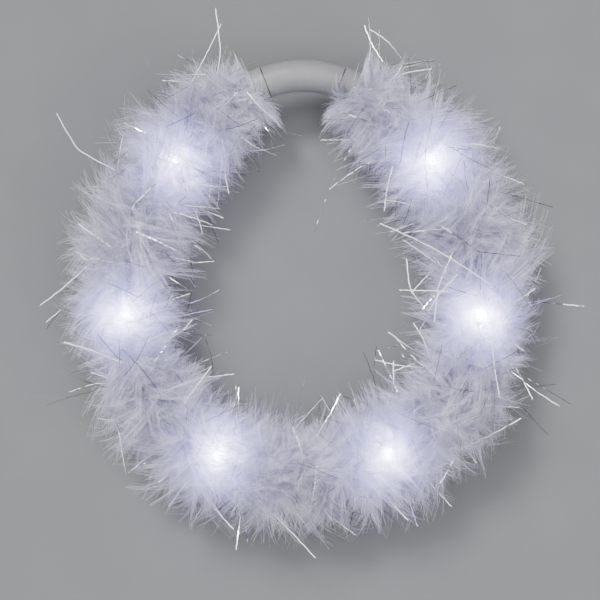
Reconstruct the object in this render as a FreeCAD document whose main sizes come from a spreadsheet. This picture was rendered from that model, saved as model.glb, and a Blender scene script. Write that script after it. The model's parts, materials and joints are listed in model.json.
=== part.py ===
import FreeCAD, Part
import math
import os
import random
import re

# Light-up marabou boa closed into a ring for the head.  The ring lies flat on its lower side:
# +X is the wearer's right, +Y points to the nape, where the plastic battery case joins the two ends
# of the boa, and +Z is up.  The origin is under the middle of the ring, on the face it rests on.
# A station is a distance in millimetres along the ring's middle line, clockwise seen from above,
# and starts at the middle of the battery case.

DIMENSIONS = {
    # middle line of the ring: half of it is five tangent arcs, and the other half mirrors them
    "ring_back": 102.4,
    "case_arc_radius": 52,
    "case_arc_angle": 36,
    "shoulder_angle": 26,
    "side_radius": 98,
    "side_angle": 56,
    "cheek_radius": 74,
    "cheek_angle": 47,
    "front_radius": 120,
    "axis_height": 26,
    # fluff
    "fluff_radius": 26,
    "channel_radius": 5.6,
    "tuft_gap": 0.4,
    "end_gap": 0.3,
    "first_light": 80,
    "second_light": 162.5,
    "third_light": 249.5,
    # core of the boa
    "hoop_radius": 0.8,
    "cord_radius": 1.1,
    "cord_drop": 3.1,
    "thread_radius": 0.4,
    "thread_aside": 2.9,
    "thread_drop": 2.4,
    "quill_radius": 0.35,
    "quill_length": 9,
    "quill_spacing": 12,
    "quill_gap": 0.15,
    "binding_radius": 2.1,
    "binding_thickness": 0.12,
    "wire_radius": 0.6,
    "wire_aside": 1.8,
    "wire_rise": 0.4,
    "wire_tail_angle": 2.7,
    "wire_past_light": 2,
    "hoop_tail": 1.6,
    # tinsel
    "strand_width": 0.6,
    "strand_thickness": 0.1,
    "strand_count": 96,
    "strand_root_depth": 6,
    "strand_lowest_root": 4,
    "strand_arch": 2,
    # lights
    "light_rise": 3.5,
    "light_radius": 2.5,
    "light_flange_radius": 2.8,
    "light_flange_height": 1,
    "light_barrel_height": 6.1,
    "light_pocket_radius": 3.1,
    "light_pocket_height": 13,
    "leg_side": 0.5,
    "leg_aside": 1.27,
    "leg_foot": 1.2,
    "sleeve_radius": 0.7,
    "sleeve_bore": 0.4,
    "sleeve_height": 1.7,
    "sleeve_gap": 0.1,
    # battery case
    "shell_radius": 8,
    "bore_radius": 6.8,
    "spigot_radius": 7.4,
    "shell_angle": 20.7,
    "spigot_angle": 26.8,
    "collar_radius": 8.5,
    "collar_bore": 7.45,
    "collar_angle": 21.4,
    "wall_angle": 27,
    "end_angle": 30,
    "hoop_bore": 0.83,
    "wire_bore": 0.65,
    "ferrule_radius": 1.15,
    "ferrule_angle": 1.75,
    "ferrule_gap_angle": 0.05,
    # battery compartment
    "cell_radius": 5.8,
    "cell_height": 5.4,
    "cell_angle": 11,
    "cell_gap": 0.01,
    "cell_aside": -0.3,
    "plate_side": 8.6,
    "plate_thickness": 0.4,
    "spring_reach": 2.2,
    "spring_thickness": 0.25,
    "door_first_angle": -20,
    "door_last_angle": 5.9,
    "door_half_width": 6,
    "door_play": 0.15,
    "door_edge_drop": 1.5,
    "door_boss_drop": 7.4,
    "door_boss_height": 2.35,
    "door_hole_radius": 1.1,
    "screw_angle": 3.4,
    "screw_radius": 0.8,
    "screw_bore": 0.85,
    "screw_head_radius": 1.7,
    "screw_head_height": 1.2,
    "screw_shank_length": 5,
    "screw_head_drop": 7.9,
    "slot_length": 2.4,
    "slot_width": 0.5,
    "slot_depth": 0.6,
    "counterbore_radius": 1.9,
    "counterbore_height": 2.4,
    "boss_radius": 2.2,
    "boss_height": 4.9,
    "bridge_height": 2.4,
    "bridge_half_angle": 1.6,
    "bridge_grip": 0.2,
    # circuit
    "board_angle": 16.3,
    "board_aside": -0.35,
    "board_rise": 1,
    "board_length": 16,
    "board_width": 9,
    "board_thickness": 1,
    "chip_along": 4,
    "chip_length": 4.9,
    "chip_width": 3.9,
    "chip_height": 1.5,
    "resistor_along": -1.5,
    "resistor_length": 3.2,
    "resistor_width": 1.6,
    "resistor_height": 0.6,
    "switch_side": 4.5,
    "switch_height": 2.8,
    "switch_well_depth": 2,
    "plunger_radius": 1.1,
    "plunger_drop": 3.2,
    "plunger_height": 2.6,
    "plunger_play": 0.05,
    "cap_drop": 8.6,
    "cap_neck_radius": 2.6,
    "cap_neck_height": 2.85,
    "cap_flange_radius": 3.3,
    "cap_flange_height": 0.7,
    "cap_stem_radius": 1.6,
    "cap_stem_height": 1.8,
    "cap_rounding": 0.6,
    # leads from the battery to the board
    "lead_radius": 0.4,
    "lead_bend": 0.8,
    "lead_landing_angle": 7.4,
    "positive_lead_aside": -0.3,
    "positive_lead_rise": 6.2,
    "negative_lead_aside": 2.6,
    "negative_lead_rise": 5.2,
}

# How far a cutting tool runs past the faces that it opens
OVERCUT = 1
# Arc ends closer than this are one point
SAME_PLACE = 0.01

doc = FreeCAD.newDocument("FeatherBoaCrown")
sheet = doc.addObject("Spreadsheet::Sheet", "Dimensions")
for row, (alias, number) in enumerate(DIMENSIONS.items(), start=1):
    sheet.set(f"A{row}", alias)
    sheet.set(f"B{row}", str(number))
    sheet.setAlias(f"B{row}", alias)
doc.recompute()

V = FreeCAD.Vector
SUBPARTS = []


def value(alias):
    """A driving dimension from the sheet."""
    return float(sheet.get(alias))


def bind(feature, **formulas):
    """Bind properties of a feature to formulas written with the sheet's aliases."""
    for name, formula in formulas.items():
        words = re.sub(
            r"[a-z][a-z_]+",
            lambda word: f"Dimensions.{word.group(0)}" if word.group(0) in DIMENSIONS else word.group(0),
            formula,
        )
        feature.setExpression(name, words)
    return feature


def subpart(feature, label):
    """Register a finished feature as a sub-part under its own label."""
    feature.Label = label
    SUBPARTS.append(feature)
    return feature


# ---- the ring's middle line --------------------------------------------------------------------


def ring_arcs():
    """Radius, first and last heading in degrees of the arcs of one half, from the case to the front.

    The heading turns clockwise from +X.  The shoulder's radius is the one that brings the
    half-ring's end back to the mirror line."""
    angles = [value(f"{name}_angle") for name in ("case_arc", "shoulder", "side", "cheek")]
    angles.append(180 - sum(angles))
    radii = [0] + [value(f"{name}_radius") for name in ("side", "cheek", "front")]
    radii.insert(0, value("case_arc_radius"))
    heading = 0
    arcs = []
    for radius, angle in zip(radii, angles):
        arcs.append([radius, heading, heading + angle])
        heading += angle
    rise = [math.sin(math.radians(last)) - math.sin(math.radians(first)) for _, first, last in arcs]
    others = sum(arc[0] * step for arc, step in zip(arcs, rise))
    arcs[1][0] = -others / rise[1]
    return arcs


ARCS = ring_arcs()
ARC_LENGTHS = [radius * math.radians(last - first) for radius, first, last in ARCS]
HALF = sum(ARC_LENGTHS)


def ring_point(station):
    """x, y and heading in degrees of the middle line at a station."""
    station = station % (2 * HALF)
    mirrored = station > HALF
    left = 2 * HALF - station if mirrored else station
    x, y = 0.0, value("ring_back")
    for (radius, first, last), length in zip(ARCS, ARC_LENGTHS):
        part = min(left, length)
        heading = first + math.degrees(part / radius)
        x += radius * (math.sin(math.radians(heading)) - math.sin(math.radians(first)))
        y -= radius * (math.cos(math.radians(first)) - math.cos(math.radians(heading)))
        left -= part
        if left <= 1e-9:
            break
    return (-x, y, 360 - heading) if mirrored else (x, y, heading)


def at(station, aside=0.0, rise=0.0, along=0.0):
    """Placement at a station: local X runs along the ring, Y points outwards and Z up.

    aside is outwards from the middle line, rise is above it and along is on local X."""
    x, y, heading = ring_point(station)
    turn = FreeCAD.Rotation(V(0, 0, 1), -heading)
    base = V(x, y, value("axis_height")) + turn.multVec(V(along, aside, rise))
    return FreeCAD.Placement(base, turn)


def case_station(angle):
    """Station of an angle in degrees from the middle of the case."""
    return value("case_arc_radius") * math.radians(angle)


def ring_wire(start, end, aside, rise):
    """Wire of arcs parallel to the middle line between two stations, start below end."""
    joints = [0.0]
    for length in ARC_LENGTHS:
        joints.append(joints[-1] + length)
    breaks = set()
    for lap in (-1, 0, 1, 2):
        for joint in joints:
            breaks.update((2 * HALF * lap - joint, 2 * HALF * lap + joint))
    marks = [start]
    for mark in sorted(breaks):
        if marks[-1] + SAME_PLACE < mark < end - SAME_PLACE:
            marks.append(mark)
    marks.append(end)
    edges = []
    for first, last in zip(marks, marks[1:]):
        points = [at(s, aside, rise).Base for s in (first, (first + last) / 2, last)]
        edges.append(Part.Arc(*points).toShape())
    return Part.Wire(edges)


def tube(label, start, end, radius, aside=0.0, rise=0.0):
    """Round bar of a bound radius swept parallel to the middle line."""
    path = doc.addObject("Part::Feature", label + "_path")
    path.Shape = ring_wire(start, end, aside, rise)
    section = doc.addObject("Part::Circle", label + "_section")
    bind(section, Radius=radius)
    spot = at(start, aside, rise)
    tangent = spot.Rotation.multVec(V(1, 0, 0))
    section.Placement = FreeCAD.Placement(spot.Base, FreeCAD.Rotation(V(0, 0, 1), tangent))
    sweep = doc.addObject("Part::Sweep", label)
    sweep.Sections = [section]
    sweep.Spine = (path, [f"Edge{i + 1}" for i in range(len(path.Shape.Edges))])
    sweep.Solid = True
    sweep.Frenet = False
    return sweep


# ---- small helpers for features ----------------------------------------------------------------


def cut(label, base, tool):
    feature = doc.addObject("Part::Cut", label)
    feature.Base = base
    feature.Tool = tool
    return feature


def common(label, base, tool):
    feature = doc.addObject("Part::Common", label)
    feature.Base = base
    feature.Tool = tool
    return feature


def fuse(label, pieces):
    feature = doc.addObject("Part::MultiFuse", label)
    feature.Shapes = pieces
    return feature


def group(label, pieces):
    feature = doc.addObject("Part::Compound", label)
    feature.Links = pieces
    return feature


def box(label, placement, length, width, height):
    """Box centred on local X and Y that rises from the placement."""
    feature = bind(doc.addObject("Part::Box", label), Length=length, Width=width, Height=height)
    doc.recompute()
    shift = V(-feature.Length.Value / 2, -feature.Width.Value / 2, 0)
    feature.Placement = placement.multiply(FreeCAD.Placement(shift, FreeCAD.Rotation()))
    return feature


def cylinder(label, placement, radius, height):
    """Upright cylinder that rises from the placement."""
    feature = bind(doc.addObject("Part::Cylinder", label), Radius=radius, Height=height)
    feature.Placement = placement
    return feature


def case_tube(label, radius, first, last):
    """Solid bar bent along the case's arc between two angles."""
    feature = bind(doc.addObject("Part::Torus", label), Radius1="case_arc_radius", Radius2=radius)
    feature.Angle3 = last - first
    centre = V(0, value("ring_back") - value("case_arc_radius"), value("axis_height"))
    feature.Placement = FreeCAD.Placement(centre, FreeCAD.Rotation(V(0, 0, 1), 90 - last))
    return feature


def case_sector(label, inner, outer, first, last, low, high):
    """Upright-walled sector around the case's centre between two radii, angles and heights."""
    centre = V(0, value("ring_back") - value("case_arc_radius"), value("axis_height") + low)
    turn = FreeCAD.Rotation(V(0, 0, 1), 90 - last)
    sizes = {"outer": outer, "inner": inner}
    pieces = {}
    for name, radius in sizes.items():
        pieces[name] = bind(doc.addObject("Part::Cylinder", f"{label}_{name}"), Radius=radius)
        pieces[name].Height = high - low
        pieces[name].Angle = last - first
        pieces[name].Placement = FreeCAD.Placement(centre, turn)
    return cut(label, pieces["outer"], pieces["inner"])


def design_body(label, placement, steps):
    """PartDesign body from primitive steps: kind, local offset and bound sizes.

    A box is centred on its offset in X and Y."""
    body = doc.addObject("PartDesign::Body", label)
    body.Placement = placement
    for number, (kind, offset, sizes) in enumerate(steps, start=1):
        feature = body.newObject("PartDesign::" + kind, f"{label}_step_{number}")
        bind(feature, **sizes)
        if kind.endswith("Box"):
            doc.recompute()
            offset = offset - V(feature.Length.Value / 2, feature.Width.Value / 2, 0)
        feature.Placement = FreeCAD.Placement(offset, FreeCAD.Rotation())
        doc.recompute()
    return body


# ---- lights ------------------------------------------------------------------------------------

SIDE_LIGHTS = [value("first_light"), value("second_light"), value("third_light")]
LIGHTS = SIDE_LIGHTS + [2 * HALF - station for station in reversed(SIDE_LIGHTS)]


def make_light(number, station):
    """Round light with a flange, and its two legs bent out onto the supply wires."""
    base = V(0, 0, 0)
    dome = V(0, 0, value("light_flange_height") + value("light_barrel_height") - value("light_radius"))
    flange_sizes = {"Radius": "light_flange_radius", "Height": "light_flange_height"}
    barrel_sizes = {
        "Radius": "light_radius",
        "Height": "light_flange_height + light_barrel_height - light_radius",
    }
    steps = [
        ("AdditiveCylinder", base, flange_sizes),
        ("AdditiveCylinder", base, barrel_sizes),
        ("AdditiveSphere", dome, {"Radius": "light_radius"}),
    ]
    label = f"light_{number}"
    subpart(design_body(label, at(station, 0, value("light_rise")), steps), label)
    foot_rise = value("wire_rise") + value("wire_radius")
    leg_height = "light_rise - wire_rise - wire_radius"
    legs = []
    for name, side in (("outer", 1), ("inner", -1)):
        leg_spot = at(station, value("leg_aside") * side, foot_rise)
        legs.append(box(f"{label}_{name}_leg", leg_spot, "leg_side", "leg_side", leg_height))
        reach = (value("leg_aside") - value("leg_side") / 2 + value("leg_foot") / 2) * side
        foot_spot = at(station, reach, foot_rise)
        legs.append(box(f"{label}_{name}_foot", foot_spot, "leg_side", "leg_foot", "leg_side"))
    subpart(fuse(f"{label}_legs", legs), f"{label}_legs")


def make_sleeves():
    """Insulating sleeves on the legs of every light."""
    sleeves = []
    low = value("light_rise") - value("sleeve_height") - value("sleeve_gap")
    for number, station in enumerate(LIGHTS, start=1):
        for name, side in (("outer", 1), ("inner", -1)):
            label = f"sleeve_{number}_{name}"
            spot = at(station, value("leg_aside") * side, low)
            body = cylinder(label + "_body", spot, "sleeve_radius", "sleeve_height")
            bore = cylinder(label + "_bore", spot, "sleeve_bore", "sleeve_height")
            sleeves.append(cut(label, body, bore))
    subpart(group("leg_sleeves", sleeves), "leg_sleeves")


# ---- fluff -------------------------------------------------------------------------------------


def tuft_edges():
    """Stations where one tuft ends and the next begins, from the right collar to the left one.

    A tuft with a light reaches a quarter of the way to the next light."""
    start = case_station(value("end_angle"))
    marks = [SIDE_LIGHTS[0] - (SIDE_LIGHTS[1] - SIDE_LIGHTS[0]) / 4]
    for first, second in zip(LIGHTS, LIGHTS[1:]):
        quarter = (second - first) / 4
        marks += [first + quarter, second - quarter]
    marks.append(2 * HALF - marks[0])
    return [start] + marks + [2 * HALF - start]


def make_tufts():
    """Marabou tufts: closed rolls of down round the channel, with a pocket over each light."""
    edges = tuft_edges()
    gap = value("tuft_gap") / 2
    for number, (start, end) in enumerate(zip(edges, edges[1:]), start=1):
        label = f"marabou_tuft_{number:02d}"
        roll = tube(label + "_roll", start + gap, end - gap, "fluff_radius")
        channel = tube(label + "_channel", start - OVERCUT, end + OVERCUT, "channel_radius")
        tuft = cut(label + "_sleeve", roll, channel)
        for station in LIGHTS:
            if start < station < end:
                spot = at(station)
                pocket = cylinder(label + "_pocket", spot, "light_pocket_radius", "light_pocket_height")
                tuft = cut(label + "_lit", tuft, pocket)
        subpart(tuft, label)


# ---- core of the boa ---------------------------------------------------------------------------

BOA_START = case_station(value("end_angle")) + value("end_gap")
BOA_END = 2 * HALF - BOA_START


def make_core():
    """Spring hoop, carrying cord, tinsel thread and the two supply wires."""
    wall = case_station(value("wall_angle"))
    hoop_end = wall - value("hoop_tail")
    subpart(tube("hoop_wire", hoop_end, 2 * HALF - hoop_end, "hoop_radius"), "hoop_wire")
    cord = tube("boa_cord", BOA_START, BOA_END, "cord_radius", 0, -value("cord_drop"))
    subpart(cord, "boa_cord")
    aside = value("thread_aside")
    thread = tube("tinsel_thread", BOA_START, BOA_END, "thread_radius", aside, -value("thread_drop"))
    subpart(thread, "tinsel_thread")
    start = case_station(value("wall_angle") - value("wire_tail_angle"))
    end = LIGHTS[-1] + value("wire_past_light")
    for name, side in (("positive", 1), ("negative", -1)):
        aside = value("wire_aside") * side
        wire = tube(f"wire_{name}", start, end, "wire_radius", aside, value("wire_rise"))
        subpart(wire, f"wire_{name}")


def make_quills():
    """Feather quills laid along both sides of the cord, and the thread turns that bind them."""
    quills = []
    turns = []
    count = int((BOA_END - BOA_START - value("quill_spacing")) / value("quill_spacing"))
    aside = value("cord_radius") + value("quill_radius") + value("quill_gap")
    for number in range(count):
        station = BOA_START + value("quill_spacing") * (number + 0.75)
        side = 1 if number % 2 else -1
        spot = at(station, aside * side, -value("cord_drop"), -value("quill_length") / 2)
        spot.Rotation = spot.Rotation.multiply(FreeCAD.Rotation(V(0, 1, 0), 90))
        quills.append(cylinder(f"quill_{number + 1}", spot, "quill_radius", "quill_length"))
        turn = bind(
            doc.addObject("Part::Torus", f"binding_turn_{number + 1}"),
            Radius1="binding_radius",
            Radius2="binding_thickness",
        )
        ring = at(station, 0, -value("cord_drop"))
        ring.Rotation = ring.Rotation.multiply(FreeCAD.Rotation(V(0, 1, 0), 90))
        turn.Placement = ring
        turns.append(turn)
    subpart(group("feather_quills", quills), "feather_quills")
    subpart(group("binding_thread", turns), "binding_thread")


# ---- tinsel ------------------------------------------------------------------------------------

# Long strands seen apart from the down: station and distance outwards from the middle line where
# each one leaves the down, the same two at its tip, the tip's rise and the sideways bow
LONG_STRANDS = [
    (537, 6, 560, 42, 20, 5),
    (486, 22, 493, 61, 14, -6),
    (531, 47, 528, 39, 12, 0),
    (552, -15, 583, -31, 14, 3),
    (536, -24, 558, -33, 18, 1),
    (44, -22, 68, -68, 12, 2),
    (63, -13, 52, -48, 20, 2),
    (59, 19, 48, 39, 16, 1),
    (40, 7, 38, 33, 22, 0),
    (38, 21, 48, 34, 20, -1),
    (36, 26, 22, 29, 16, 2),
    (101, -24, 85, -45, 12, 2),
    (147, 4, 92, -39, 18, 3),
    (165, -25, 124, -35, 16, -5),
    (150, -17, 148, -41, 14, 0),
    (128, -12, 170, -23, 24, 3),
    (155, 28, 156, 51, 10, 0),
    (146, 38, 146, 49, 8, 0),
    (183, 20, 188, 54, 12, 0),
    (184, 21, 190, 49, 15, 1),
    (192, 25, 200, 50, 10, 1),
    (431, 26, 420, 40, 14, 1),
    (389, 28, 401, 55, 10, 2),
    (393, 24, 395, 49, 14, 1),
    (333, 28, 335, 49, 12, 0),
    (318, 27, 317, 43, 10, 0),
    (316, 28, 313, 39, 16, 0),
    (238, -25, 220, -49, 14, 1),
    (240, -26, 202, -46, 16, -2),
    (238, -20, 207, -35, 22, 2),
    (426, -32, 437, -47, 12, 1),
    (454, -21, 462, -42, 16, 1),
    (466, -28, 414, -29, 20, -5),
    (360, -26, 397, -37, 14, 3),
    (460, 2, 491, 0, 27, -6),
    (466, -7, 476, -18, 27, 1),
    (64, 13, 90, -11, 26, 4),
    (294, 12, 292, -7, 28, 1),
    (220, 15, 236, 25, 20, -2),
]


def down_height(aside):
    """Rise of the down's upper surface at a distance from the middle line."""
    radius = value("fluff_radius")
    return math.sqrt(max(radius**2 - aside**2, 0))


def long_strand(first, first_aside, last, last_aside, tip_rise, bow):
    """Three points of a long strand, from just under the surface of the down to its tip."""
    root_rise = max(down_height(first_aside) - value("strand_root_depth"), value("strand_lowest_root"))
    root = at(first, first_aside, root_rise).Base
    tip = at(last, last_aside, tip_rise).Base
    chord = tip - root
    across = chord.cross(V(0, 0, 1)).normalize()
    knee = root + chord / 2 + across * bow + V(0, 0, value("strand_arch"))
    return root, knee, tip


# A short strand bends this far along its length, where this share of its lean is reached
KNEE_PLACE = 0.55
KNEE_LEAN = 0.4


def short_strand(station, turn, reach, lean, bow):
    """Three points of a strand that leaves the channel at an angle round the roll of down."""
    spot = at(station)
    across = V(0, math.cos(math.radians(turn)), math.sin(math.radians(turn)))
    along = V(1, 0, 0)
    start = value("channel_radius") + OVERCUT
    root = spot.multVec(across * start)
    knee_reach = start + (reach - start) * KNEE_PLACE
    knee = spot.multVec(across * knee_reach + along * (lean * KNEE_LEAN + bow))
    tip = spot.multVec(across * reach + along * lean)
    return root, knee, tip


def strand_solid(points):
    """Flat strip of foil through three points, bent at the middle one."""
    root, knee, tip = points
    first = (knee - root).normalize()
    second = (tip - knee).normalize()
    normal = first.cross(second).normalize()
    half = value("strand_thickness") / 2
    side_first = normal.cross(first) * half
    side_second = normal.cross(second) * half
    mitre = (side_first + side_second).normalize() * half
    outline = [root + side_first, knee + mitre, tip + side_second]
    outline += [tip - side_second, knee - mitre, root - side_first]
    lift = normal * (-value("strand_width") / 2)
    corners = [point + lift for point in outline]
    face = Part.Face(Part.makePolygon(corners + [corners[0]]))
    return face.extrude(normal * value("strand_width"))


# Scattered strands: their angles round the roll from 0 outwards, the half angle about straight up
# in which they count as overhead, their reaches from the middle line, their largest leans along
# the ring, their largest bow, and the distance from a light's station that stays clear overhead
SCATTER_TURNS = (-25, 205)
OVERHEAD_HALF_ANGLE = 45
SCATTER_REACHES = (27, 38)
OVERHEAD_LEAN = 30
SIDE_LEAN = 18
SCATTER_BOW = 5
LIGHT_CLEARANCE = 9


def make_tinsel():
    """All tinsel strands: the long ones, and shorter ones scattered round the roll."""
    paths = [long_strand(*strand) for strand in LONG_STRANDS]
    scatter = random.Random(7)
    count = int(value("strand_count"))
    for number in range(count):
        station = BOA_START + (BOA_END - BOA_START) * (number + scatter.random()) / count
        turn = scatter.uniform(*SCATTER_TURNS)
        overhead = abs(turn - 90) < OVERHEAD_HALF_ANGLE
        reach = scatter.uniform(*SCATTER_REACHES)
        most_lean = OVERHEAD_LEAN if overhead else SIDE_LEAN
        lean = scatter.uniform(-most_lean, most_lean)
        bow = scatter.uniform(-SCATTER_BOW, SCATTER_BOW)
        lit = min(abs(station - light) for light in LIGHTS) < LIGHT_CLEARANCE
        if not (overhead and lit):
            paths.append(short_strand(station, turn, reach, lean, bow))
    strands = doc.addObject("Part::Feature", "tinsel_strands")
    strands.Shape = Part.makeCompound([strand_solid(points) for points in paths])
    subpart(strands, "tinsel_strands")


# ---- battery case ------------------------------------------------------------------------------


def make_shells():
    """Two half shells of the curved case, with the battery opening and the button hole below."""
    shell = value("shell_angle")
    spigot = value("spigot_angle")
    skin = fuse(
        "case_skin",
        [
            case_tube("case_skin_grip", "shell_radius", -shell, shell),
            case_tube("case_skin_spigot", "spigot_radius", -spigot, spigot),
        ],
    )
    pipe = cut("case_pipe", skin, case_tube("case_bore", "bore_radius", -spigot - 1, spigot + 1))
    reach = value("case_arc_radius") + value("shell_radius")
    centre_line = value("ring_back") - value("case_arc_radius")
    below = bind(doc.addObject("Part::Box", "case_lower_half"), Height="axis_height")
    below.Length = 2 * reach
    below.Width = reach
    below.Placement = FreeCAD.Placement(V(-reach, centre_line, 0), FreeCAD.Rotation())
    subpart(cut("case_top_shell", pipe, below), "case_top_shell")
    lower = common("case_lower", pipe, below)
    under = value("shell_radius") + OVERCUT
    opening = case_sector(
        "door_opening",
        "case_arc_radius - door_half_width - door_play",
        "case_arc_radius + door_half_width + door_play",
        value("door_first_angle") - value("door_play"),
        value("door_last_angle") + value("door_play"),
        -under,
        -value("door_edge_drop"),
    )
    opened = cut("case_lower_opened", lower, opening)
    first = value("screw_angle") - value("bridge_half_angle")
    last = value("screw_angle") + value("bridge_half_angle")
    bridge_slab = case_sector(
        "bridge_slab",
        "case_arc_radius - bore_radius - bridge_grip",
        "case_arc_radius + bore_radius + bridge_grip",
        first,
        last,
        -value("bridge_height"),
        0,
    )
    bridge_round = case_tube("bridge_round", "bore_radius + bridge_grip", first - 1, last + 1)
    bridge = common("bridge", bridge_slab, bridge_round)
    screw_station = case_station(value("screw_angle"))
    boss_spot = at(screw_station, 0, -value("boss_height"))
    boss = cylinder("screw_boss", boss_spot, "boss_radius", "boss_height")
    solid = fuse("case_lower_bossed", [opened, bridge, boss])
    hole_low = value("screw_head_height") - value("screw_head_drop")
    hole_spot = at(screw_station, 0, hole_low)
    hole = cylinder("screw_hole", hole_spot, "screw_bore", "screw_shank_length + screw_bore")
    drilled = cut("case_lower_drilled", solid, hole)
    button_spot = at(case_station(value("board_angle")), 0, -under)
    button_hole = cylinder("button_hole", button_spot, "cap_neck_radius + door_play", "shell_radius / 2")
    subpart(cut("case_bottom_shell", drilled, button_hole), "case_bottom_shell")


def make_collar(name, side):
    """End collar: a socket over the spigots, closed by a wall that the hoop passes through."""
    label = f"collar_{name}"
    spans = {"socket": ("collar_angle", "end_angle"), "bore": ("collar_angle", "wall_angle")}
    pieces = {}
    for piece, (near, far) in spans.items():
        first, last = sorted((side * value(near), side * value(far)))
        if piece == "bore":
            first, last = (first - OVERCUT, last) if side > 0 else (first, last + OVERCUT)
        radius = "collar_radius" if piece == "socket" else "collar_bore"
        pieces[piece] = case_tube(f"{label}_{piece}", radius, first, last)
    hollow = cut(f"{label}_hollow", pieces["socket"], pieces["bore"])
    first, last = sorted((side * (value("wall_angle") - OVERCUT), side * (value("end_angle") + OVERCUT)))
    hoop_hole = case_tube(f"{label}_hoop_hole", "hoop_bore", first, last)
    drilled = cut(f"{label}_drilled", hollow, hoop_hole)
    if side > 0:
        start = case_station(first)
        end = case_station(last)
        for wire, aside in (("positive", value("wire_aside")), ("negative", -value("wire_aside"))):
            hole = tube(f"{label}_{wire}_hole", start, end, "wire_bore", aside, value("wire_rise"))
            drilled = cut(f"{label}_{wire}", drilled, hole)
    subpart(drilled, label)


def make_ferrule(name, side):
    """Crimped stop on the end of the hoop wire, inside the collar's wall."""
    far = value("wall_angle") - value("ferrule_gap_angle")
    near = far - value("ferrule_angle")
    first, last = sorted((side * near, side * far))
    outer = case_tube(f"ferrule_{name}_body", "ferrule_radius", first, last)
    bore = case_tube(f"ferrule_{name}_bore", "hoop_radius", first - OVERCUT, last + OVERCUT)
    subpart(cut(f"hoop_ferrule_{name}", outer, bore), f"hoop_ferrule_{name}")


# ---- battery compartment -----------------------------------------------------------------------

CELL_STATION = -case_station(value("cell_angle"))
CELL_ASIDE = value("cell_aside")
STACK_END = 1.5 * value("cell_height") + 2 * value("cell_gap")
RIM_SHARE = 0.85


def make_cells():
    """Three coin cells in a straight stack, each with a raised rim round its smaller cap."""
    for number in range(3):
        along = (number - 1) * (value("cell_height") + value("cell_gap")) - value("cell_height") / 2
        spot = at(CELL_STATION, CELL_ASIDE, 0, along)
        spot.Rotation = spot.Rotation.multiply(FreeCAD.Rotation(V(0, 1, 0), 90))
        cap = V(0, 0, value("cell_height") * RIM_SHARE)
        can_sizes = {"Radius": "cell_radius", "Height": f"cell_height * {RIM_SHARE}"}
        cap_sizes = {"Radius": "cell_radius * 0.82", "Height": f"cell_height * (1 - {RIM_SHARE})"}
        steps = [("AdditiveCylinder", V(0, 0, 0), can_sizes), ("AdditiveCylinder", cap, cap_sizes)]
        label = f"battery_cell_{number + 1}"
        subpart(design_body(label, spot, steps), label)


def make_contacts():
    """Flat positive contact, and the negative contact with its sprung tongue."""
    half_side = value("plate_side") / 2
    near = -STACK_END - value("plate_thickness") / 2 - 2 * value("cell_gap")
    spot = at(CELL_STATION, CELL_ASIDE, -half_side, near)
    plate = box("contact_plate_positive", spot, "plate_thickness", "plate_side", "plate_side")
    subpart(plate, "contact_plate_positive")
    base = STACK_END + value("spring_reach")
    spot = at(CELL_STATION, CELL_ASIDE, -half_side, base)
    back = box("negative_back", spot, "plate_thickness", "plate_side", "plate_side")
    touch = STACK_END + 3 * value("cell_gap")
    thin = value("spring_thickness")
    fixed = base - value("plate_thickness") / 4
    corners = [
        (fixed, 0.6 * half_side),
        (touch + thin, -0.24 * half_side),
        (touch + thin, -0.5 * half_side),
        (touch, -0.5 * half_side),
        (touch, -0.2 * half_side),
        (fixed - thin, 0.6 * half_side),
    ]
    frame = at(CELL_STATION, CELL_ASIDE)
    width = value("plate_side") * 0.4
    points = [frame.multVec(V(x, -width / 2, z)) for x, z in corners]
    face = Part.Face(Part.makePolygon(points + [points[0]]))
    tongue = doc.addObject("Part::Feature", "negative_tongue")
    tongue.Shape = face.extrude(frame.Rotation.multVec(V(0, width, 0)))
    subpart(fuse("contact_spring_negative", [back, tongue]), "contact_spring_negative")


def make_door():
    """Battery door: a curved cover flush with the case, with the screw's boss inside."""
    first = value("door_first_angle")
    last = value("door_last_angle")
    under = value("shell_radius") + OVERCUT
    sector = case_sector(
        "door_sector",
        "case_arc_radius - door_half_width",
        "case_arc_radius + door_half_width",
        first,
        last,
        -under,
        -value("door_edge_drop"),
    )
    outer = case_tube("door_outer", "shell_radius", first - OVERCUT, last + OVERCUT)
    inner = case_tube("door_inner", "bore_radius", first - 2 * OVERCUT, last + 2 * OVERCUT)
    cover = common("door_cover", cut("door_skin", outer, inner), sector)
    station = case_station(value("screw_angle"))
    boss_spot = at(station, 0, -value("door_boss_drop"))
    boss = cylinder("door_boss", boss_spot, "boss_radius", "door_boss_height")
    solid = fuse("door_bossed", [cover, boss])
    hole_spot = at(station, 0, -under)
    through = cylinder("door_through_hole", hole_spot, "door_hole_radius", "boss_height")
    seat = cylinder("door_counterbore", hole_spot, "counterbore_radius", "counterbore_height")
    subpart(cut("battery_door", solid, fuse("door_holes", [through, seat])), "battery_door")


def make_screw():
    """Door screw with a crossed slot in its head, which points down."""
    base = V(0, 0, 0)
    neck = V(0, 0, value("screw_head_height"))
    steps = [
        ("AdditiveCylinder", base, {"Radius": "screw_head_radius", "Height": "screw_head_height"}),
        ("AdditiveCylinder", neck, {"Radius": "screw_radius", "Height": "screw_shank_length"}),
        ("SubtractiveBox", base, {"Length": "slot_width", "Width": "slot_length", "Height": "slot_depth"}),
        ("SubtractiveBox", base, {"Length": "slot_length", "Width": "slot_width", "Height": "slot_depth"}),
    ]
    spot = at(case_station(value("screw_angle")), 0, -value("screw_head_drop"))
    subpart(design_body("door_screw", spot, steps), "door_screw")


# ---- circuit -----------------------------------------------------------------------------------

BOARD_STATION = case_station(value("board_angle"))
BOARD_TOP = value("board_rise") + value("board_thickness")


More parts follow.
